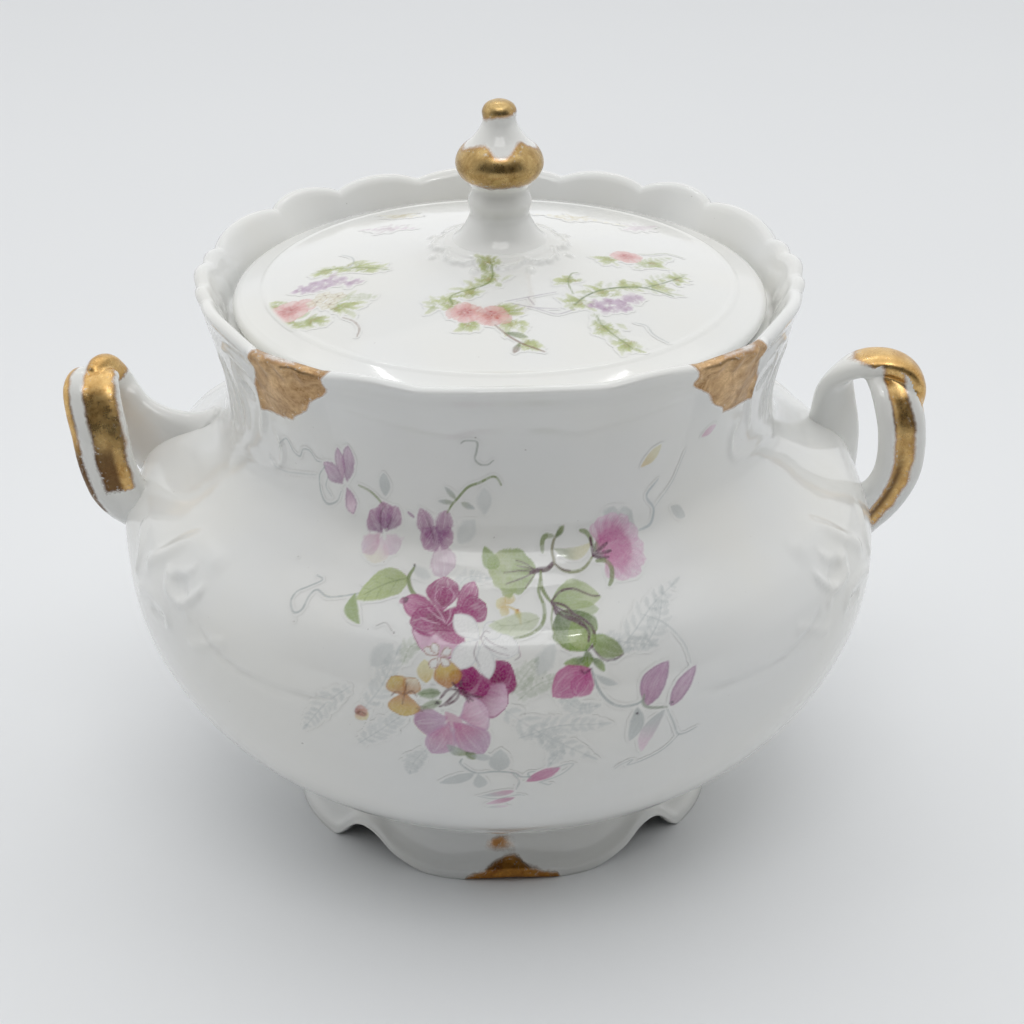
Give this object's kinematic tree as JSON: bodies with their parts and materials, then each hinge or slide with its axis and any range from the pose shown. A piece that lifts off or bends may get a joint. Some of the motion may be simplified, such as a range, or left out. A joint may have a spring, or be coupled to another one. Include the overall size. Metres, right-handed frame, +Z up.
{
  "type": "sugar bowl",
  "caption": "Covered porcelain sugar bowl with a bulging body, scalloped rim, lobed foot, ribbon-loop handles and a domed lid with an onion finial.",
  "frame": {"origin": "centre of the foot, on the surface that the bowl stands on", "axes": "+Z up along the axis of the bowl and lid, X through both handles, the decorated front faces -Y"},
  "size_m": [0.1637, 0.1432, 0.1385],
  "materials": {
    "painted_porcelain": "clear glaze over white porcelain with printed floral sprays",
    "gilt_porcelain": "clear glaze over white porcelain with worn gold bands and patches"
  },
  "bodies": {
    "bowl": {"bowl_body": "painted_porcelain", "foot_ring": "gilt_porcelain", "handle_left": "gilt_porcelain", "handle_right": "gilt_porcelain"},
    "lid": {"lid": "painted_porcelain", "finial": "gilt_porcelain"}
  },
  "joints": [
    {"name": "lid_lift", "type": "slide", "parent": "bowl", "child": "lid", "axis": [0, 0, 1], "range_m": [0, 0.06]}
  ]
}
